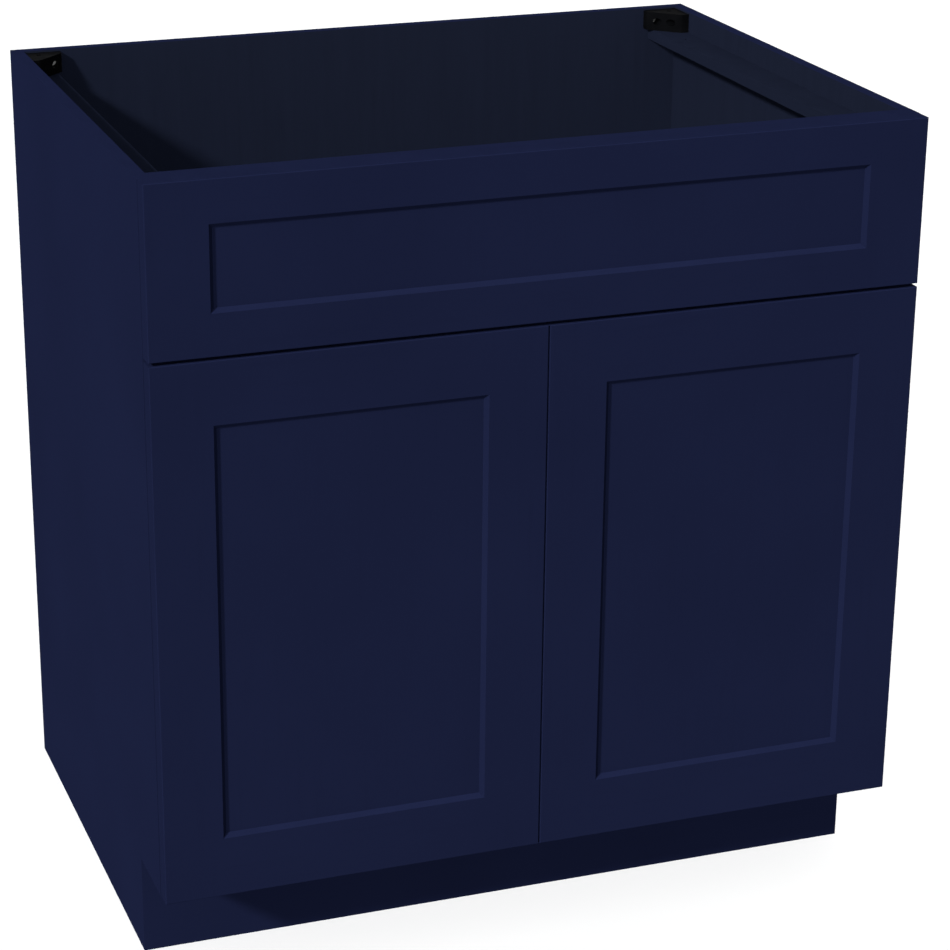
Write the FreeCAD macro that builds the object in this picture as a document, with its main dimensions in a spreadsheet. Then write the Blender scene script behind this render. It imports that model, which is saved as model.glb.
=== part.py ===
import FreeCAD, Part
import os
import re
import Sketcher
from FreeCAD import Placement, Rotation, Vector

# Bathroom vanity cabinet: a plywood case with a face frame, an open top for a basin,
# a fixed false drawer front and a pair of full overlay shaker doors on concealed hinges.
# Millimetres.  X runs to the right, Y from the door fronts to the wall, Z up from the floor.
# The origin is under the middle of the whole cabinet.
# The false front is screwed tight to the face frame.  It is as thick as a door and the gap
# behind it together, so the false front and the doors end in one plane.

SIZES = {
    # whole cabinet
    "cabinet_width": 762.0,
    "cabinet_height": 808.0,
    "case_depth": 552.0,          # wall side to the front of the face frame
    "board": 12.0,                # thickness of sides, back, deck and toe board
    "dado_depth": 6.0,            # how far the deck sits in the sides
    "toe_height": 103.0,
    "toe_recess": 77.0,           # toe board behind the front of the face frame
    # face frame
    "frame_thickness": 19.0,
    "frame_stile": 35.0,
    "frame_rail": 38.0,
    "dowel_radius": 4.0,
    "dowel_length": 40.0,
    "dowel_offset": 10.0,         # from the middle of a rail
    # doors and false front
    "front_thickness": 18.4,      # of the doors
    "door_gap": 0.6,              # between a door's back and the face frame
    "reveal": 0.5,                # at each side of the cabinet
    "meeting_gap": 1.2,           # between the two doors
    "shelf_gap": 3.5,             # between the false front and the doors
    "false_front_height": 163.0,
    "front_stile": 58.0,          # flat face of a stile
    "door_rail": 61.0,            # flat face of a door's rail
    "false_rail": 40.5,           # flat face of a rail of the false front
    "bevel": 4.0,                 # width of the sloped inner edge
    "recess": 4.5,                # panel's face behind the frame's face
    "front_round": 1.0,           # radius of a front's outer edges
    "panel_thickness": 6.0,
    "tongue": 8.0,                # depth of the groove that holds the panel
    # strips and blocks that carry the top
    "strip_width": 32.0,
    "strip_drop": 22.0,           # top of a strip below the top of the case
    "strip_hole_radius": 2.5,
    "strip_hole_reach": 190.0,    # hole in front of and behind the middle of a strip
    "block_leg": 38.0,
    "block_nose": 9.0,            # square end of a leg
    "block_drop": 2.0,
    "block_hole": 13.0,           # hole's centre from both walls
    "block_round": 5.0,
    "block_web": 4.5,             # left under a screw's head in its counterbore
    # concealed hinges
    "hinge_inset": 90.0,          # hinge's centre from a door's end
    "cup_radius": 17.5,
    "cup_depth": 12.0,
    "cup_centre": 22.5,           # from the cabinet's side
    "cup_floor": 1.5,
    "cup_wall": 1.5,
    "slot_half": 6.0,             # half the width of the cup's slot
    "slot_outer": 16.3,           # slot's end nearer the cabinet's side, from the cup's centre
    "slot_inner": 18.5,           # slot's other end, past the cup's wall
    "flange_half": 26.0,
    "flange_width": 22.0,
    "flange_thickness": 1.2,
    "pin_radius": 1.5,
    "pin_play": 0.05,
    "cup_pin_side": 11.0,         # from the cabinet's side
    "cup_pin_front": 3.2,         # in front of the face frame
    "plate_pin_side": 40.5,
    "plate_pin_back": 8.0,        # behind the front of the face frame
    "cup_pin_half": 11.2,
    "plate_pin_half": 8.1,
    "link_half": 5.0,             # half the link's width
    "link_thickness": 2.0,
    "cup_eye": 2.5,               # radius of the link's eye in the cup
    "plate_eye": 3.0,
    "neck_side": 2.6,             # link's neck nearer the cabinet's side than the plate's pin
    "neck_back": 1.5,             # neck's rear end behind the front of the face frame
    "neck_front": 2.0,            # neck's other end in front of it
    "neck_turn": 2.4,             # sloped run from the neck into the cup
    "ear_gap": 5.6,               # ear's inner face from the hinge's centre
    "ear_thickness": 2.5,
    "plate_thickness": 1.5,
    "plate_half": 25.0,
    "plate_back": 18.0,           # plate's rear edge behind the front of the face frame
    "plate_front": 4.0,
    "plate_screw": 18.0,          # screw from the hinge's centre
    "cup_screw": 21.5,
    # screws and bumpers
    "screw_radius": 1.8,
    "head_radius": 3.4,
    "head_height": 1.8,
    "head_room": 0.4,             # around a head in its counterbore
    "drive_width": 0.8,           # arms of the cross recess in a head
    "drive_span": 3.8,
    "drive_depth": 1.2,
    "tip_height": 3.0,
    "front_screw_length": 32.0,
    "plate_screw_length": 20.0,
    "cup_screw_length": 13.0,
    "block_screw_length": 14.0,
    "front_screw_side": 200.0,
    "bumper_radius": 4.0,
    "bumper_proud": 0.3,          # out of the door's back
    "bumper_recess": 1.2,         # into it
    "bumper_inset": 16.0,
}

doc = FreeCAD.newDocument("vanity_cabinet")
sheet = doc.addObject("Spreadsheet::Sheet", "Sizes")
for row, (name, size) in enumerate(SIZES.items(), start=1):
    sheet.set("A%d" % row, name)
    sheet.set("B%d" % row, str(size))
    sheet.setAlias("B%d" % row, name)
doc.recompute()

PARTS = []
LEFTWARD, FORWARD, BACKWARD, UP = Vector(-1, 0, 0), Vector(0, -1, 0), Vector(0, 1, 0), Vector(0, 0, 1)


# ---------------------------------------------------------------- helpers

def cells(text):
    """Return an expression with each size named as a cell of the sheet."""
    return re.sub(r"[a-z][a-z_]+", lambda word: "Sizes." + word.group(0)
                  if word.group(0) in SIZES else word.group(0), text)


def value(text):
    """Work out an expression's number."""
    return float(sheet.evalExpression(cells(text)))


def bind(thing, properties):
    """Bind properties of a document object to expressions."""
    for path, text in properties.items():
        thing.setExpression(path, cells(text))


def place(thing, spot, turn=None):
    """Put an object at a bound place, turned as asked."""
    if turn is not None:
        thing.Placement = Placement(Vector(), turn)
    bind(thing, {".Placement.Base.%s" % axis: text for axis, text in zip("xyz", spot)})
    return thing


def add(kind, label):
    thing = doc.addObject(kind, label)
    thing.Label = label
    return thing


def keep(thing, label):
    """Name a finished sub-part and list it for export."""
    thing.Label = label
    PARTS.append(thing)
    return thing


def block(label, x, y, z):
    """Make a square block between bound limits along each axis."""
    box = add("Part::Box", label)
    for name, (low, high) in zip(("Length", "Width", "Height"), (x, y, z)):
        bind(box, {name: "(%s) - (%s)" % (high, low)})
    return place(box, (x[0], y[0], z[0]))


ALONG = {
    "x": Rotation(Vector(0, 1, 0), 90),
    "y": Rotation(Vector(1, 0, 0), -90),
    "z": Rotation(),
}


def rod(label, axis, start, radius, length):
    """Make a round rod that runs along an axis from its start."""
    cylinder = add("Part::Cylinder", label)
    bind(cylinder, {"Radius": radius, "Height": length})
    return place(cylinder, start, ALONG[axis])


def cut(label, base, *tools):
    """Cut tools out of a base, one after another."""
    for number, tool in enumerate(tools, start=1):
        result = add("Part::Cut", label if number == len(tools) else "%s_step%d" % (label, number))
        result.Base, result.Tool = base, tool
        base = result
    return base


def fuse(label, *shapes):
    result = add("Part::MultiFuse", label)
    result.Shapes = list(shapes)
    return result


def mirrored(label, source, normal=Vector(1, 0, 0), base=("0", "0", "0")):
    """Mirror an object in a plane across the axis given."""
    result = add("Part::Mirroring", label)
    result.Source = source
    result.Normal = normal
    bind(result, {".Base.%s" % axis: text for axis, text in zip("xyz", base)})
    return result


def group(label, *solids):
    result = add("Part::Compound", label)
    result.Links = list(solids)
    return result


def common(label, base, tool):
    result = add("Part::Common", label)
    result.Base, result.Tool = base, tool
    return result


def plane_of(body, role):
    for feature in body.Origin.OriginFeatures:
        if feature.Role == role:
            return feature
    raise RuntimeError("no plane " + role)


def outline_sketch(body, label, points):
    """Draw a closed outline of bound corners on the body's XY plane."""
    sketch = body.newObject("Sketcher::SketchObject", label)
    sketch.AttachmentSupport = [(plane_of(body, "XY_Plane"), "")]
    sketch.MapMode = "FlatFace"
    spots = [Vector(value(x), value(y), 0) for x, y in points]
    count = len(spots)
    for number in range(count):
        sketch.addGeometry(Part.LineSegment(spots[number], spots[(number + 1) % count]), False)
    for number in range(count):
        sketch.addConstraint(Sketcher.Constraint("Coincident", number, 2, (number + 1) % count, 1))
    for number, point in enumerate(points):
        for kind, axis, text, size in (("DistanceX", -2, point[0], spots[number].x),
                                       ("DistanceY", -1, point[1], spots[number].y)):
            if abs(size) < 1e-9:
                sketch.addConstraint(Sketcher.Constraint("PointOnObject", number, 1, axis))
                continue
            index = sketch.addConstraint(Sketcher.Constraint(kind, -1, 1, number, 1, size))
            sketch.setExpression("Constraints[%d]" % index, cells(text))
    return sketch


def padded(label, points, length, symmetric=False):
    """Pad a closed outline by a bound length, one way or both ways."""
    body = add("PartDesign::Body", label)
    sketch = outline_sketch(body, label + "_outline", points)
    pad = body.newObject("PartDesign::Pad", label + "_pad")
    pad.Profile = sketch
    if symmetric:
        pad.SideType = "Symmetric"
    bind(pad, {"Length": length})
    return body


def pocket(body, label, points, depth, backward):
    """Cut a closed outline into a body from its XY plane."""
    sketch = outline_sketch(body, label + "_outline", points)
    doc.recompute()
    before = body.Shape.Volume
    feature = body.newObject("PartDesign::Pocket", label)
    feature.Profile = sketch
    feature.Reversed = backward
    bind(feature, {"Length": depth})
    doc.recompute()
    if body.Shape.Volume > before - 1.0:
        raise RuntimeError(label + " cuts nothing")


def screw_form(long):
    """A plain countersunk wood screw, pointing up from its head's middle."""
    head, shank = value("head_radius"), value("screw_radius")
    head_height, tip_height = value("head_height"), value("tip_height")
    cone = Part.makeCone(head, shank, head_height)
    body = Part.makeCylinder(shank, long - head_height - tip_height, Vector(0, 0, head_height))
    tip = Part.makeCone(shank, 0, tip_height, Vector(0, 0, long - tip_height))
    return cone.fuse([body, tip]).removeSplitter()


def cross_form():
    """The cross recess in a screw's head."""
    width, span, depth = value("drive_width"), value("drive_span"), value("drive_depth")
    arms = [Part.makeBox(one, other, depth, Vector(-one / 2, -other / 2, 0))
            for one, other in ((width, span), (span, width))]
    return arms[0].fuse(arms[1]).removeSplitter()


def screws(label, spots, direction, length):
    """Make a set of screws, each from its head's middle along a direction.

    Returns the plain forms that shape the holes, and the screws with their cross recesses.
    """
    made = []
    for name, shape in ((label + "_space", screw_form(value(length))), (label + "_crosses", cross_form())):
        copies = []
        for spot in spots:
            copy = shape.copy()
            copy.Placement = Placement(Vector(*[value(text) for text in spot]), Rotation(UP, direction))
            copies.append(copy)
        feature = add("Part::Feature", name)
        feature.Shape = Part.makeCompound(copies)
        made.append(feature)
    space, crosses = made
    return space, cut(label, space, crosses)


# ---------------------------------------------------------------- places

SIDE = "cabinet_width / 2"
BACK = "(case_depth + door_gap + front_thickness) / 2"
FRONT = "-(case_depth + door_gap + front_thickness) / 2"
FRAME_FRONT = FRONT + " + door_gap + front_thickness"
FRAME_BACK = FRAME_FRONT + " + frame_thickness"
FRONT_BACK = FRONT + " + front_thickness"
BACK_INSIDE = BACK + " - board"
SIDE_INSIDE = "cabinet_width / 2 - board"
FRAME_OPENING = "cabinet_width / 2 - frame_stile"
TOE_FRONT = FRAME_FRONT + " + toe_recess"
DECK_TOP = "toe_height + frame_rail"
FALSE_BOTTOM = "cabinet_height - false_front_height"
DOOR_TOP = FALSE_BOTTOM + " - shelf_gap"
DOOR_MIDDLE = "(toe_height + " + DOOR_TOP + ") / 2"
MID_RAIL = FALSE_BOTTOM + " - shelf_gap / 2"
HINGE_LOW = "toe_height + hinge_inset"
HINGE_HIGH = DOOR_TOP + " - hinge_inset"


def minus(text):
    return "-(%s)" % text


# ---------------------------------------------------------------- fasteners let into the wood

front_screw_space, front_screws = screws(
    "false_front_screws",
    [(side, FRAME_BACK, height)
     for side in ("front_screw_side", "-front_screw_side")
     for height in ("cabinet_height - frame_rail / 2", FALSE_BOTTOM + " + frame_rail / 4")],
    FORWARD, "front_screw_length")

plate_screw_space, plate_screws = screws(
    "left_plate_screws",
    [("-cabinet_width / 2 + frame_stile + plate_thickness",
      FRAME_FRONT + " + (plate_back + plate_front) / 2", "%s %s plate_screw" % (height, sign))
     for height in (HINGE_LOW, HINGE_HIGH) for sign in "+-"],
    LEFTWARD, "plate_screw_length")

cup_screw_space, cup_screws = screws(
    "left_cup_screws",
    [("-cabinet_width / 2 + cup_centre", FRONT_BACK, "%s %s cup_screw" % (height, sign))
     for height in (HINGE_LOW, HINGE_HIGH) for sign in "+-"],
    FORWARD, "cup_screw_length")

BLOCK_MIDDLE = "cabinet_height - block_drop - (strip_drop - block_drop) / 2"
BLOCK_SCREW = "block_leg - block_nose"
back_spot = (minus(SIDE_INSIDE) + " + " + BLOCK_SCREW, BACK_INSIDE + " - block_web", BLOCK_MIDDLE)
side_spot = (minus(SIDE_INSIDE) + " + block_web", BACK_INSIDE + " - (%s)" % BLOCK_SCREW, BLOCK_MIDDLE)
back_space, back_screw = screws("block_back_screw", [back_spot], BACKWARD, "block_screw_length")
side_space, side_screw = screws("block_side_screw", [side_spot], LEFTWARD, "block_screw_length")


def both_sides(label, *left):
    """Things on the left with their twins on the right."""
    pair = group(label + "_left", *left)
    return group(label, pair, mirrored(label + "_right", pair))


block_screw_space = both_sides("block_screw_space", back_space, side_space)
block_screws = both_sides("corner_block_screws", back_screw, side_screw)


def dowels():
    """Two dowels in each joint between a rail and a stile of the face frame."""
    pegs = []
    for height in ("toe_height + frame_rail / 2", MID_RAIL, "cabinet_height - frame_rail / 2"):
        for sign in "+-":
            name = "dowel_%d" % (len(pegs) // 2 + 1)
            peg = rod(name, "x", (minus(FRAME_OPENING) + " - dowel_length / 2",
                                  FRAME_FRONT + " + frame_thickness / 2",
                                  "%s %s dowel_offset" % (height, sign)),
                      "dowel_radius", "dowel_length")
            pegs += [peg, mirrored(name + "_right", peg)]
    return group("frame_dowels", *pegs)


frame_dowels = dowels()


# ---------------------------------------------------------------- case

def case():
    side = padded(
        "left_side_blank",
        [("0", "0"), ("case_depth - toe_recess - board", "0"),
         ("case_depth - toe_recess - board", "toe_height"),
         ("case_depth - frame_thickness", "toe_height"),
         ("case_depth - frame_thickness", "cabinet_height"), ("0", "cabinet_height")],
        "board")
    # The outline's X runs towards the front and its Y up, so the pad runs to the left.
    place(side, (minus(SIDE_INSIDE), BACK, "0"),
          Rotation(Vector(0, -1, 0), Vector(0, 0, 1), Vector(-1, 0, 0), "XYZ"))
    pocket(side, "left_side_dado",
           [("board", "%s - board" % DECK_TOP), ("case_depth - frame_thickness", "%s - board" % DECK_TOP),
            ("case_depth - frame_thickness", DECK_TOP), ("board", DECK_TOP)],
           "dado_depth", True)
    panel = keep(cut("left_side_panel", side, block_screw_space), "left_side_panel")
    keep(mirrored("right_side_panel", panel), "right_side_panel")

    back = block("back_panel_blank", (minus(SIDE_INSIDE), SIDE_INSIDE), (BACK_INSIDE, BACK),
                 ("0", "cabinet_height"))
    keep(cut("back_panel", back, block_screw_space), "back_panel")
    keep(block("deck", (minus(SIDE_INSIDE) + " - dado_depth", SIDE_INSIDE + " + dado_depth"),
               (FRAME_BACK, BACK_INSIDE), (DECK_TOP + " - board", DECK_TOP)), "deck")
    keep(block("deck_support", (minus(SIDE_INSIDE), SIDE_INSIDE), (TOE_FRONT, TOE_FRONT + " + board"),
               ("toe_height", DECK_TOP + " - board")), "deck_support")
    keep(block("toe_board", (minus(SIDE), SIDE), (TOE_FRONT, TOE_FRONT + " + board"),
               ("0", "toe_height")), "toe_board")


block_hole = rod("block_hole", "z",
                 (minus(SIDE_INSIDE) + " + block_hole", BACK_INSIDE + " - block_hole",
                  "cabinet_height - strip_drop - board"),
                 "strip_hole_radius", "board + strip_drop")


def strips():
    """Strips along both sides, below the top's edge, with holes for the top's screws."""
    blank = block("left_strip_blank", (minus(SIDE_INSIDE), minus(SIDE_INSIDE) + " + strip_width"),
                  (FRAME_BACK, BACK_INSIDE),
                  ("cabinet_height - strip_drop - board", "cabinet_height - strip_drop"))
    holes = [rod("strip_hole_" + name, "z",
                 (minus(SIDE_INSIDE) + " + strip_width / 2",
                  "(%s + %s) / 2 %s strip_hole_reach" % (FRAME_BACK, BACK_INSIDE, sign),
                  "cabinet_height - strip_drop - board"), "strip_hole_radius", "board")
             for name, sign in (("front", "-"), ("rear", "+"))]
    strip = keep(cut("left_mounting_strip", blank, block_hole, *holes), "left_mounting_strip")
    keep(mirrored("right_mounting_strip", strip), "right_mounting_strip")


def corner_blocks():
    """Moulded blocks in the two rear corners, standing on the strips."""
    body = padded("left_block_blank",
                  [("0", "0"), ("block_leg", "0"), ("block_leg", "block_nose"),
                   ("block_nose", "block_leg"), ("0", "block_leg")],
                  "strip_drop - block_drop")
    # The outline's X runs to the right and its Y towards the front, so the pad runs down.
    place(body, (minus(SIDE_INSIDE), BACK_INSIDE, "cabinet_height - block_drop"),
          Rotation(Vector(1, 0, 0), 180))
    doc.recompute()
    edges = []
    for number, edge in enumerate(body.Shape.Edges, start=1):
        ends = [vertex.Point for vertex in edge.Vertexes]
        upright = abs(ends[0].z - ends[1].z) > 1
        away = ends[0].x > value(minus(SIDE_INSIDE)) + 1 and ends[0].y < value(BACK_INSIDE) - 1
        if upright and away:
            edges.append("Edge%d" % number)
    pad = body.Tip
    rounding = body.newObject("PartDesign::Fillet", "left_block_round")
    rounding.Base = (pad, edges)
    bind(rounding, {"Radius": "block_round"})
    bores = [rod("block_back_bore", "y", (back_spot[0], back_spot[1] + " - block_leg", back_spot[2]),
                 "head_radius + head_room", "block_leg"),
             rod("block_side_bore", "x", side_spot, "head_radius + head_room", "block_leg")]
    left = keep(cut("left_corner_block", body, block_hole, block_screw_space, *bores),
                "left_corner_block")
    keep(mirrored("right_corner_block", left), "right_corner_block")
    keep(block_screws, "corner_block_screws")


# ---------------------------------------------------------------- face frame

def face_frame():
    stile = block("frame_left_stile_blank", (minus(SIDE), minus(FRAME_OPENING)),
                  (FRAME_FRONT, FRAME_BACK), ("toe_height", "cabinet_height"))
    left = keep(cut("frame_left_stile", stile, frame_dowels, plate_screw_space),
                "frame_left_stile")
    keep(mirrored("frame_right_stile", left), "frame_right_stile")
    rails = (("frame_top_rail", "cabinet_height - frame_rail"),
             ("frame_mid_rail", MID_RAIL + " - frame_rail / 2"),
             ("frame_bottom_rail", "toe_height"))
    for label, low in rails:
        blank = block(label + "_blank", (minus(FRAME_OPENING), FRAME_OPENING),
                      (FRAME_FRONT, FRAME_BACK), (low, low + " + frame_rail"))
        tools = [frame_dowels] if label == "frame_bottom_rail" else [frame_dowels, front_screw_space]
        keep(cut(label, blank, *tools), label)
    keep(frame_dowels, "frame_dowels")


# ---------------------------------------------------------------- shaker fronts

def member(label, flat, thick, length, spot, turn=Rotation()):
    """A stile or rail: flat face, sloped inner edge, groove for the panel."""
    wide = flat + " + bevel"
    return place(padded(label, [
        ("0", "0"), (flat, "0"), (wide, "recess"), (wide + " - tongue", "recess"),
        (wide + " - tongue", "recess + panel_thickness"), (wide, "recess + panel_thickness"),
        (wide, thick), ("0", thick)], length), spot, turn)


def rounded_slab(name, x, z, thick):
    """A front's whole outer form, with its four front edges rounded."""
    slab = block(name + "_slab", x, (FRONT, FRONT + " + " + thick), z)
    doc.recompute()
    rounding = add("Part::Fillet", name + "_form")
    rounding.Base = slab
    radius = value("front_round")
    rounding.Edges = [(number, radius, radius) for number, edge in enumerate(slab.Shape.Edges, start=1)
                      if edge.BoundBox.YMax < value(FRONT) + radius / 2]
    return rounding


def shaker(name, x, z, rail, thick):
    """The five pieces of a front between bound limits, in the order stiles, rails, panel."""
    width, height = "((%s) - (%s))" % (x[1], x[0]), "((%s) - (%s))" % (z[1], z[0])
    middle = "((%s) + (%s)) / 2" % (x[0], x[1])
    stile_groove, rail_groove = "(front_stile + bevel - tongue)", "(%s + bevel - tongue)" % rail
    left = member(name + "_left_stile_blank", "front_stile", thick, height, (x[0], FRONT, z[0]))
    right = mirrored(name + "_right_stile_blank", left, base=(middle, "0", "0"))
    long = "%s - 2 * %s" % (width, stile_groove)
    lower = member(name + "_lower_rail_blank", rail, thick, long,
                   (x[1] + " - " + stile_groove, FRONT, z[0]), Rotation(Vector(0, 1, 0), -90))
    upper = member(name + "_upper_rail_blank", rail, thick, long,
                   (x[0] + " + " + stile_groove, FRONT, z[1]), Rotation(Vector(0, 1, 0), 90))
    # Each rail's ends are shaped over the stiles' sloped edge and fill their groove.
    bottom = cut(name + "_coped_lower_rail", lower, left, right)
    top = cut(name + "_coped_upper_rail", upper, left, right)
    panel = block(name + "_panel", (x[0] + " + " + stile_groove, x[1] + " - " + stile_groove),
                  (FRONT + " + recess", FRONT + " + recess + panel_thickness"),
                  (z[0] + " + " + rail_groove, z[1] + " - " + rail_groove))
    form = rounded_slab(name, x, z, thick)
    left, right, bottom, top = [common(piece.Label + "_rounded", piece, form)
                                for piece in (left, right, bottom, top)]
    return left, right, bottom, top, panel


def false_front():
    pieces = shaker("false_front", (minus(SIDE) + " + reveal", SIDE + " - reveal"),
                    (FALSE_BOTTOM, "cabinet_height"), "false_rail", "(front_thickness + door_gap)")
    left, right, bottom, top, panel = pieces
    keep(left, "false_front_left_stile")
    keep(right, "false_front_right_stile")
    keep(cut("false_front_lower", bottom, front_screw_space), "false_front_bottom_rail")
    keep(cut("false_front_upper", top, front_screw_space), "false_front_top_rail")
    keep(panel, "false_front_panel")
    keep(front_screws, "false_front_screws")


def doors(cup_space):
    left, right, bottom, top, panel = shaker(
        "left_door", (minus(SIDE) + " + reveal", "-meeting_gap / 2"), ("toe_height", DOOR_TOP),
        "door_rail", "front_thickness")
    hinge_stile = cut("left_door_hinge_stile", left, cup_space, cup_screw_space)
    pads = []
    for height in ("toe_height + bumper_inset", DOOR_TOP + " - bumper_inset / 2"):
        pads.append(rod("left_bumper_%d" % len(pads), "y",
                        ("-meeting_gap / 2 - bumper_inset", FRONT_BACK + " - bumper_recess", height),
                        "bumper_radius", "bumper_recess + bumper_proud"))
    bumpers = group("left_door_bumpers", *pads)
    meeting_stile = cut("left_door_meeting_stile", right, bumpers)
    pieces = {
        "hinge_stile": hinge_stile, "meeting_stile": meeting_stile, "bottom_rail": bottom,
        "top_rail": top, "panel": panel, "bumpers": bumpers}
    for name, piece in pieces.items():
        keep(piece, "left_door_" + name)
        keep(mirrored("right_door_" + name, piece), "right_door_" + name)


# ---------------------------------------------------------------- concealed hinges

CUP_X = minus(SIDE) + " + cup_centre"
CUP_PIN = (minus(SIDE) + " + cup_pin_side", FRAME_FRONT + " - cup_pin_front")
PLATE_PIN = (minus(SIDE) + " + plate_pin_side", FRAME_FRONT + " + plate_pin_back")


def both(label, lower):
    """A door's lower hinge piece with its twin mirrored up to the upper hinge."""
    upper = mirrored(label + "_upper", lower, UP, ("0", "0", DOOR_MIDDLE))
    return group(label, lower, upper)


def cup_body(name):
    """Outer form of a cup and its round-ended flange, let into the back of the door."""
    shell = rod(name + "_shell", "y", (CUP_X, FRONT_BACK + " - cup_depth", HINGE_LOW),
                "cup_radius", "cup_depth")
    flange_y = (FRONT_BACK + " - flange_thickness", FRONT_BACK)
    straight = "flange_half - flange_width / 2"
    flange = block(name + "_flange", (CUP_X + " - flange_width / 2", CUP_X + " + flange_width / 2"),
                   flange_y, ("%s - (%s)" % (HINGE_LOW, straight), "%s + (%s)" % (HINGE_LOW, straight)))
    ends = [rod(name + "_flange_end" + end, "y",
                (CUP_X, flange_y[0], "%s %s (%s)" % (HINGE_LOW, sign, straight)),
                "flange_width / 2", "flange_thickness") for end, sign in (("_low", "-"), ("_high", "+"))]
    return fuse(name, shell, flange, *ends)


def hinges(cup_space):
    slot = block("cup_slot", (CUP_X + " - slot_outer", CUP_X + " + slot_inner"),
                 (FRONT_BACK + " - cup_depth + cup_floor", FRONT_BACK),
                 (HINGE_LOW + " - slot_half", HINGE_LOW + " + slot_half"))
    cavity = rod("cup_cavity", "y", (CUP_X, FRONT_BACK + " - cup_depth + cup_floor", HINGE_LOW),
                 "cup_radius - cup_wall", "cup_depth - cup_floor")
    cup_pin = rod("cup_pin", "z", CUP_PIN + (HINGE_LOW + " - cup_pin_half",),
                  "pin_radius", "2 * cup_pin_half")
    plate_pin = rod("plate_pin", "z", PLATE_PIN + (HINGE_LOW + " - plate_pin_half",),
                    "pin_radius", "2 * plate_pin_half")
    cup = cut("cup", cup_body("cup_form"), cavity, slot, cup_pin)
    cups = cut("left_hinge_cups", both("left_cups_solid", cup), cup_screw_space)

    plate_x = minus(SIDE) + " + frame_stile"
    base = block("plate_base", (plate_x, plate_x + " + plate_thickness"),
                 (FRAME_FRONT + " + plate_front", FRAME_FRONT + " + plate_back"),
                 (HINGE_LOW + " - plate_half", HINGE_LOW + " + plate_half"))
    ears = []
    for name, low in (("low", "- ear_gap - ear_thickness"), ("high", "+ ear_gap")):
        root = block("ear_root_" + name, (plate_x, PLATE_PIN[0]),
                     (PLATE_PIN[1] + " - plate_eye", PLATE_PIN[1] + " + plate_eye"),
                     (HINGE_LOW + low, HINGE_LOW + low + " + ear_thickness"))
        end = rod("ear_end_" + name, "z", PLATE_PIN + (HINGE_LOW + low,), "plate_eye", "ear_thickness")
        ears += [root, end]
    plate = cut("plate", fuse("plate_solid", base, *ears), plate_pin)
    plates = cut("left_hinge_plates", both("left_plates_solid", plate), plate_screw_space)

    pieces = {
        "hinge_cups": cups, "cup_pins": both("left_cup_pins", cup_pin), "cup_screws": cup_screws,
        "hinge_links": both("left_links", link()), "hinge_plates": plates,
        "plate_pins": both("left_plate_pins", plate_pin), "plate_screws": plate_screws}
    for name, piece in pieces.items():
        keep(piece, "left_" + name)
        keep(mirrored("right_" + name, piece), "right_" + name)


def link():
    """Gooseneck link: it leaves the plate's pin, passes the face frame's edge and lies in the cup."""
    # Bends of the middle line, from the cabinet's side and in front of the face frame.
    neck = "plate_pin_side - neck_side"
    line = [("plate_pin_side", "-plate_pin_back"), (neck, "-neck_back"), (neck, "neck_front"),
            (neck + " - neck_turn", "neck_front + neck_turn"), ("cup_pin_side", "cup_pin_front")]
    spots = [Vector(value(x), value(y), 0) for x, y in line]
    half, wide = value("link_thickness") / 2, 2 * value("link_half")
    upward = Vector(0, 0, wide)
    solids = []
    for start, end in zip(spots, spots[1:]):
        along = (end - start).normalize()
        across = Vector(-along.y, along.x, 0) * half
        corners = [start + across, end + across, end - across, start - across]
        solids.append(Part.Face(Part.makePolygon(corners + corners[:1])).extrude(upward))
    solids += [Part.makeCylinder(half, wide, spot) for spot in spots[1:-1]]
    solids.append(Part.makeCylinder(value("plate_eye"), wide, spots[0]))
    solids.append(Part.makeCylinder(value("cup_eye"), wide, spots[-1]))
    solid = solids[0].fuse(solids[1:]).removeSplitter()
    for spot in (spots[0], spots[-1]):
        solid = solid.cut(Part.makeCylinder(value("pin_radius + pin_play"), wide, spot))
    feature = add("Part::Feature", "link")
    feature.Shape = solid.Solids[0]
    return place(feature, (minus(SIDE), FRAME_FRONT, HINGE_LOW + " + link_half"),
                 Rotation(Vector(1, 0, 0), 180))


cup_space = both("cup_space", cup_body("cup_space_form"))

case()
strips()
corner_blocks()
face_frame()
false_front()
doors(cup_space)
hinges(cup_space)


# ---------------------------------------------------------------- check and write

doc.recompute()
for thing in doc.Objects:
    if "Invalid" in thing.State or "Error" in thing.State:
        raise RuntimeError("%s failed: %s" % (thing.Label, thing.State))

os.makedirs("parts", exist_ok=True)
for part in PARTS:
    shape = part.Shape
    if shape.isNull() or not shape.isValid() or not shape.Solids:
        raise RuntimeError(part.Label + " has no valid shape")
    shape.exportStep("parts/%s.step" % part.Label)
print(len(PARTS), "sub-parts written")
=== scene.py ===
import math

import bpy
from mathutils import Matrix, Vector


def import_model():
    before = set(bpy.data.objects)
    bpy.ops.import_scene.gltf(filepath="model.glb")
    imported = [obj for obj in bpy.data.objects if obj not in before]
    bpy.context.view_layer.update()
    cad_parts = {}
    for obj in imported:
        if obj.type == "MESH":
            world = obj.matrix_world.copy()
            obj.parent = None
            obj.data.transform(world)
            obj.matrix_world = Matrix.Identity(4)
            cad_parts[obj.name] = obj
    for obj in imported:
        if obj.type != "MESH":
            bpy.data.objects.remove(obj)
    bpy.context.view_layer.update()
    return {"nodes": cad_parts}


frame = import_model()
NODES = frame["nodes"]
SCENE = bpy.context.scene

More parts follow.
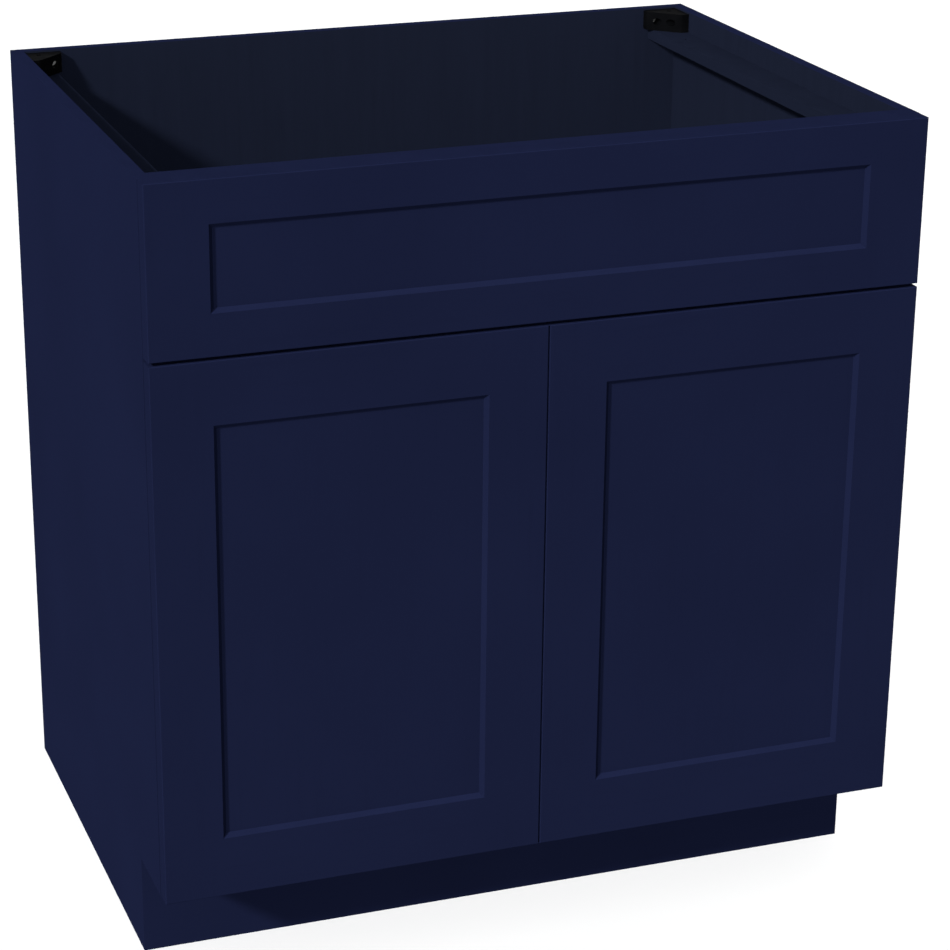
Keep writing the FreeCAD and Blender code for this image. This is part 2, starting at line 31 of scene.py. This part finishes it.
# Colours, as linear red, green and blue.
NAVY = (0.0084, 0.0114, 0.0352)
BOARD_INSIDE = (0.0099, 0.0130, 0.0268)
BEECH_DARK, BEECH_PALE = (0.42, 0.25, 0.12), (0.58, 0.38, 0.2)
PLASTIC_BLACK, PLASTIC_SCUFFED = (0.0024, 0.0026, 0.0032), (0.0036, 0.0038, 0.0045)
NICKEL, BRIGHT_ZINC = (0.62, 0.61, 0.58), (0.66, 0.67, 0.66)
PAD_MILKY, PAD_DUSTY = (0.62, 0.63, 0.62), (0.42, 0.41, 0.39)
FLOOR_GREY, WHITE, BLACK = (0.9, 0.9, 0.9), (1, 1, 1), (0, 0, 0)

# Factors on a colour: the range of its clouds, of the painted light that makes faces looking up
# paler, and its pores or spots.
CLOUDS = (0.95, 1.05)
# The second pair is painted light, not dust: it makes faces that look up paler, as if more
# light fell on them from above.
NAVY_PAINTED_TOP_LIGHT, BOARD_PAINTED_TOP_LIGHT = (1.34, 1.46), (1.15, 1.3)
NAVY_PORE, BOARD_PORE = 0.82, 0.6
PLATING_CLOUDS, PLATING_SPOT = (0.85, 1.0), 0.6

# Noise features per metre along X, Y and Z: few along the grain or brushing, many across it.
MEMBER_UPRIGHT, MEMBER_LYING = (160, 160, 7), (7, 160, 160)
BOARD_UPRIGHT, BOARD_SIDE_TO_SIDE = (120, 120, 6), (6, 120, 120)
BOARD_FRONT_TO_BACK = (120, 6, 120)
DOWEL_FIGURE, DOWEL_PORES = (40, 500, 500), (120, 2500, 2500)
NICKEL_BRUSHING, ZINC_BRUSHING = (90, 90, 2600), (700, 700, 700)

# Heights of surface texture, in metres.
PORE_HEIGHT, DOWEL_PORE_HEIGHT = 0.00006, 0.00008
ORANGE_PEEL_HEIGHT, FINE_PEEL_HEIGHT = 0.000025, 0.000006
PLASTIC_SPARK_HEIGHT = 0.00004
FINE_HEIGHT = 0.00002

# Ranges of a noise's values: where most of it lies, and the peaks that stand for pores.
MIDDLE = (0.3, 0.7)
PEAKS = (0.55, 0.8)

# The part of a face's normal along an axis, past which the face looks along that axis.
FACING_PART = 0.5

# A Mix node's colour sockets, by number because its other sockets have the same names.
MIX_COLOURS, MIX_RESULT = (6, 7), 2

# Sizes around the cabinet, in metres.
FLOOR_SIDE = 60
BACKDROP_RADIUS, BACKDROP_HEIGHT, BACKDROP_SUNK = 29, 40, 0.1
BACKDROP_FACES = 96

# The photo's camera: place in metres, directions in degrees, lens and sensor in millimetres.
CAMERA_PLACE = (-0.92299, -2.56663, 1.43106)
CAMERA_AZIMUTH, CAMERA_ELEVATION = -18.688, 20.786
CAMERA_LENS, CAMERA_SENSOR = 105.83, 36
CAMERA_SHIFT = (0.0848, -0.0048)

WORLD_STRENGTH = 0.30


# ---------------------------------------------------------------- node helpers

class Finish:
    """A material whose shader is fed by procedural nodes, placed in the frame's metres."""

    def __init__(self, name, **fixed):
        """Fixed values are named after the shader's sockets, with _ for a space."""
        self.material = bpy.data.materials.new(name)
        self.material.use_nodes = True
        self.tree = self.material.node_tree
        self.shader = self.tree.nodes["Principled BSDF"]
        for socket, value in fixed.items():
            self.shader.inputs[socket.replace("_", " ")].default_value = value
        coordinates = self.tree.nodes.new("ShaderNodeTexCoord").outputs
        self.place, self.normal = coordinates["Object"], coordinates["Normal"]

    def node(self, kind, **settings):
        made = self.tree.nodes.new(kind)
        for name, setting in settings.items():
            setattr(made, name, setting)
        return made

    def link(self, start, end):
        self.tree.links.new(start, end)

    def feed(self, socket, source):
        self.link(source, self.shader.inputs[socket])

    def stretched(self, scale):
        """Coordinates scaled by a different amount along each axis."""
        mapping = self.node("ShaderNodeMapping")
        mapping.inputs["Scale"].default_value = scale
        self.link(self.place, mapping.inputs["Vector"])
        return mapping.outputs["Vector"]

    def noise(self, scale, detail=2.0, stretch=None, rough=0.5, distortion=0.0):
        """Noise with a number of features per metre, or per stretched unit."""
        made = self.node("ShaderNodeTexNoise")
        made.inputs["Scale"].default_value = scale
        made.inputs["Detail"].default_value = detail
        made.inputs["Roughness"].default_value = rough
        made.inputs["Distortion"].default_value = distortion
        self.link(self.stretched(stretch) if stretch else self.place, made.inputs["Vector"])
        return made.outputs["Fac"]

    def ramp(self, source, first, second, within=MIDDLE):
        """Blend from a first colour to a second within a part of a source's range."""
        made = self.node("ShaderNodeValToRGB")
        for element, position, colour in zip(made.color_ramp.elements, within, (first, second)):
            element.position = position
            element.color = (*colour, 1)
        self.link(source, made.inputs["Fac"])
        return made.outputs["Color"]

    def shades(self, source, colour, factors):
        """Blend between two shades of one colour, each given by its factor."""
        dark, pale = factors
        return self.ramp(source, shade(colour, dark), shade(colour, pale))

    def span(self, source, low, high, within=(0.0, 1.0)):
        """Map a part of a source's range to the range from low to high."""
        made = self.node("ShaderNodeMapRange")
        for name, value in (("From Min", within[0]), ("From Max", within[1]),
                            ("To Min", low), ("To Max", high)):
            made.inputs[name].default_value = value
        self.link(source, made.inputs["Value"])
        return made.outputs["Result"]

    def mix(self, share, first, second):
        """Mix two colours, each a socket or three numbers, by a share."""
        made = self.node("ShaderNodeMix", data_type="RGBA")
        self.link(share, made.inputs["Factor"])
        for number, colour in zip(MIX_COLOURS, (first, second)):
            if isinstance(colour, bpy.types.NodeSocket):
                self.link(colour, made.inputs[number])
            else:
                made.inputs[number].default_value = (*colour, 1)
        return made.outputs[MIX_RESULT]

    def maths(self, operation, source, number):
        made = self.node("ShaderNodeMath", operation=operation)
        self.link(source, made.inputs[0])
        made.inputs[1].default_value = number
        return made.outputs[0]

    def facing(self, axis, sign):
        """1 on faces that look along an axis with the sign given, 0 on the others."""
        parts = self.node("ShaderNodeSeparateXYZ")
        self.link(self.normal, parts.inputs[0])
        along = self.maths("MULTIPLY", parts.outputs[axis], sign)
        return self.maths("GREATER_THAN", along, FACING_PART)

    def bump(self, *layers):
        """Stack height maps, each a (source, height) pair."""
        normal = None
        for source, height in layers:
            made = self.node("ShaderNodeBump")
            made.inputs["Distance"].default_value = height
            made.inputs["Strength"].default_value = 1.0
            self.link(source, made.inputs["Height"])
            if normal is not None:
                self.link(normal, made.inputs["Normal"])
            normal = made.outputs["Normal"]
        self.feed("Normal", normal)


def shade(colour, factor):
    return tuple(channel * factor for channel in colour)


# ---------------------------------------------------------------- finishes

def painted(finish):
    """Navy with faint clouds, painted paler on faces that look up as painted light from above.
    """
    clouds = finish.shades(finish.noise(5.0, detail=4.0), NAVY, CLOUDS)
    # Painted light: a paler navy for faces that look up, standing in for light falling from
    # above.
    dust_and_painted_top_light = finish.shades(finish.noise(30.0, detail=4.0), NAVY, NAVY_PAINTED_TOP_LIGHT)
    return finish.mix(finish.facing("Z", 1), clouds, dust_and_painted_top_light)


def navy_paint(name, grain):
    """Matte sprayed paint over wood: orange peel and a trace of the grain beneath."""
    paint = Finish(name, Specular_IOR_Level=0.0)
    pores = paint.noise(1.0, detail=3.0, stretch=grain, rough=0.6)
    in_pores = paint.span(pores, 0.0, 0.3, within=PEAKS)
    orange_peel, fine_peel = paint.noise(420.0), paint.noise(2400.0, detail=1.0)
    paint.feed("Base Color", paint.mix(in_pores, painted(paint), shade(NAVY, NAVY_PORE)))
    paint.feed("Roughness", paint.span(paint.noise(60.0, detail=3.0), 0.44, 0.56))
    paint.bump((pores, PORE_HEIGHT), (orange_peel, ORANGE_PEEL_HEIGHT),
               (fine_peel, FINE_PEEL_HEIGHT))
    return paint.material


def case_board(name, grain, inward=None):
    """Plywood with grey sealer and grain inside, and navy paint on all but its inward face.

    Inward is an axis and a sign; a board with none has sealer all over.
    """
    board = Finish(name, Specular_IOR_Level=0.0)
    figure = board.noise(1.0, detail=5.0, stretch=grain, rough=0.62, distortion=0.6)
    pores = board.noise(3.0, detail=3.0, stretch=grain, rough=0.7)
    in_pores = board.span(pores, 0.0, 0.25, within=PEAKS)
    sealer = board.shades(figure, BOARD_INSIDE, CLOUDS)
    grained = board.mix(in_pores, sealer, shade(BOARD_INSIDE, BOARD_PORE))
    # Painted light: a paler sealer for faces that look up, standing in for light falling from
    # above.
    dust_and_painted_top_light = board.shades(board.noise(30.0, detail=4.0), BOARD_INSIDE, BOARD_PAINTED_TOP_LIGHT)
    colour = board.mix(board.facing("Z", 1), grained, dust_and_painted_top_light)
    if inward:
        colour = board.mix(board.facing(*inward), painted(board), colour)
    board.feed("Base Color", colour)
    board.feed("Roughness", board.span(board.noise(45.0, detail=3.0), 0.5, 0.66))
    board.bump((pores, PORE_HEIGHT), (board.noise(420.0), FINE_HEIGHT))
    return board.material


def beech():
    """Turned dowel: pale wood with long fine pores."""
    wood = Finish("beech", Specular_IOR_Level=0.25)
    figure = wood.noise(1.0, detail=4.0, stretch=DOWEL_FIGURE, distortion=0.4)
    pores = wood.noise(1.0, detail=3.0, stretch=DOWEL_PORES)
    wood.feed("Base Color", wood.ramp(figure, BEECH_DARK, BEECH_PALE))
    wood.feed("Roughness", wood.span(figure, 0.55, 0.7))
    wood.bump((pores, DOWEL_PORE_HEIGHT))
    return wood.material


def black_plastic():
    """Moulded plastic with a fine spark texture and scuffed patches."""
    plastic = Finish("black_plastic", Specular_IOR_Level=0.002)
    wear, spark = plastic.noise(70.0, detail=4.0, rough=0.6), plastic.noise(1800.0)
    plastic.feed("Base Color", plastic.ramp(wear, PLASTIC_BLACK, PLASTIC_SCUFFED,
                                            within=(0.35, 0.75)))
    plastic.feed("Roughness", plastic.span(wear, 0.45, 0.62, within=MIDDLE))
    plastic.bump((spark, PLASTIC_SPARK_HEIGHT))
    return plastic.material


def plated(name, colour, rough, brushing):
    """Plated steel: brushed lines, cloudy plating and a few dull spots."""
    metal = Finish(name, Metallic=1.0)
    lines = metal.noise(1.0, detail=3.0, stretch=brushing)
    clouds = metal.shades(metal.noise(90.0, detail=4.0), colour, PLATING_CLOUDS)
    in_spots = metal.span(metal.noise(260.0), 0.0, 1.0, within=(0.62, 0.72))
    metal.feed("Base Color", metal.mix(in_spots, clouds, shade(colour, PLATING_SPOT)))
    metal.feed("Roughness", metal.span(lines, rough - 0.07, rough + 0.1))
    metal.bump((lines, FINE_HEIGHT))
    return metal.material


def clear_bumper():
    """Soft translucent pad: milky, with dust on it."""
    pad = Finish("clear_bumper", Subsurface_Weight=0.3, Subsurface_Scale=0.002)
    dust_and_painted_top_light = pad.noise(500.0, detail=4.0)
    pad.feed("Base Color", pad.ramp(dust_and_painted_top_light, PAD_MILKY, PAD_DUSTY, within=(0.4, 0.75)))
    pad.feed("Roughness", pad.span(dust_and_painted_top_light, 0.3, 0.55))
    pad.bump((pad.noise(900.0), FINE_HEIGHT))
    return pad.material


PAINT_UPRIGHT = navy_paint("navy_paint_upright", MEMBER_UPRIGHT)
PAINT_LYING = navy_paint("navy_paint_lying", MEMBER_LYING)
WOOD, PLASTIC, PAD = beech(), black_plastic(), clear_bumper()
STEEL = plated("nickel_plate", NICKEL, 0.26, NICKEL_BRUSHING)
ZINC = plated("zinc_plate", BRIGHT_ZINC, 0.34, ZINC_BRUSHING)
BOARDS = {
    "left_side_panel": case_board("board_left", BOARD_UPRIGHT, ("X", 1)),
    "right_side_panel": case_board("board_right", BOARD_UPRIGHT, ("X", -1)),
    "back_panel": case_board("board_back", BOARD_UPRIGHT, ("Y", -1)),
    "deck": case_board("board_deck", BOARD_SIDE_TO_SIDE),
    "left_mounting_strip": case_board("board_strips", BOARD_FRONT_TO_BACK),
}
BOARDS["right_mounting_strip"] = BOARDS["left_mounting_strip"]
BOARDS["deck_support"] = BOARDS["deck"]
BY_ENDING = {
    "screws": ZINC, "bumpers": PAD, "corner_block": PLASTIC, "dowels": WOOD,
    "cups": STEEL, "links": STEEL, "plates": STEEL, "pins": STEEL,
    "_rail": PAINT_LYING, "toe_board": PAINT_LYING,
}


def finish_of(name):
    """The finish of a node, with the painted wood's grain along the piece."""
    if name in BOARDS:
        return BOARDS[name]
    for ending, finish in BY_ENDING.items():
        if name.endswith(ending):
            return finish
    return PAINT_UPRIGHT


for name, node in NODES.items():
    node.data.materials.clear()
    node.data.materials.append(finish_of(name))


# ---------------------------------------------------------------- floor, light and camera

def floor():
    """A pale floor that bounces no light onto the cabinet."""
    bpy.ops.mesh.primitive_plane_add(size=FLOOR_SIDE, location=(0, 0, 0))
    ground = bpy.context.object
    ground.name = "floor"
    pale = Finish("pale_floor", Base_Color=(*FLOOR_GREY, 1), Roughness=0.95,
                  Specular_IOR_Level=0.1)
    ground.data.materials.append(pale.material)
    ground.visible_diffuse = False
    return ground


def backdrop():
    """A pale glowing wall far around the floor, seen only where a view looks past the floor."""
    middle = BACKDROP_HEIGHT / 2 - BACKDROP_SUNK
    bpy.ops.mesh.primitive_cylinder_add(vertices=BACKDROP_FACES, radius=BACKDROP_RADIUS,
                                        depth=BACKDROP_HEIGHT, end_fill_type="NOTHING",
                                        location=(0, 0, middle))
    wall = bpy.context.object
    wall.name = "backdrop"
    glow = Finish("pale_backdrop", Base_Color=(*BLACK, 1), Roughness=1.0,
                  Specular_IOR_Level=0.0, Emission_Color=(*WHITE, 1), Emission_Strength=1.0)
    wall.data.materials.append(glow.material)
    wall.visible_diffuse = False
    wall.visible_shadow = False


def camera():
    """The photo's viewpoint: looking down without roll, shifted to frame the cabinet."""
    data = bpy.data.cameras.new("camera")
    data.lens, data.sensor_width = CAMERA_LENS, CAMERA_SENSOR
    data.shift_x, data.shift_y = CAMERA_SHIFT
    thing = bpy.data.objects.new("camera", data)
    azimuth, elevation = math.radians(CAMERA_AZIMUTH), math.radians(CAMERA_ELEVATION)
    back = Vector((math.sin(azimuth) * math.cos(elevation),
                   -math.cos(azimuth) * math.cos(elevation), math.sin(elevation)))
    right = Vector((0, 0, 1)).cross(back).normalized()
    turn = Matrix((right, back.cross(right), back)).transposed().to_4x4()
    thing.matrix_world = Matrix.Translation(CAMERA_PLACE) @ turn
    SCENE.collection.objects.link(thing)
    SCENE.camera = thing


def world():
    surroundings = bpy.data.worlds.new("studio")
    surroundings.use_nodes = True
    background = surroundings.node_tree.nodes["Background"]
    background.inputs["Color"].default_value = (*WHITE, 1)
    background.inputs["Strength"].default_value = WORLD_STRENGTH
    SCENE.world = surroundings


def sun(name, travel, strength, spread, lit, shadows=True):
    """A far light that travels a given way, spread in degrees, and lights only some things."""
    data = bpy.data.lights.new(name, "SUN")
    data.energy, data.angle, data.use_shadow = strength, math.radians(spread), shadows
    lamp = bpy.data.objects.new(name, data)
    lamp.rotation_euler = Vector(travel).to_track_quat("-Z", "Y").to_euler()
    SCENE.collection.objects.link(lamp)
    lamp.light_linking.receiver_collection = lit
    lamp.light_linking.blocker_collection = lit


def collection(name, things):
    made = bpy.data.collections.new(name)
    for thing in things:
        made.objects.link(thing)
    return made


ground = floor()
backdrop()
camera()
world()
cabinet_things = collection("cabinet_things", NODES.values())
floor_things = collection("floor_things", [ground])
sun("key", travel=(1.0, 0.62, -0.69), strength=3.34, spread=5.0, lit=cabinet_things)
sun("fill", travel=(0.64, 1.02, 0.0), strength=1.2, spread=40.0, lit=cabinet_things,
    shadows=False)
sun("rear_fill", travel=(-0.5, -1.0, 0.0), strength=1.6, spread=40.0, lit=cabinet_things,
    shadows=False)
sun("floor_light", travel=(0.0, 0.0, -1.0), strength=3.0, spread=10.0, lit=floor_things)
SCENE.view_settings.view_transform = "Standard"
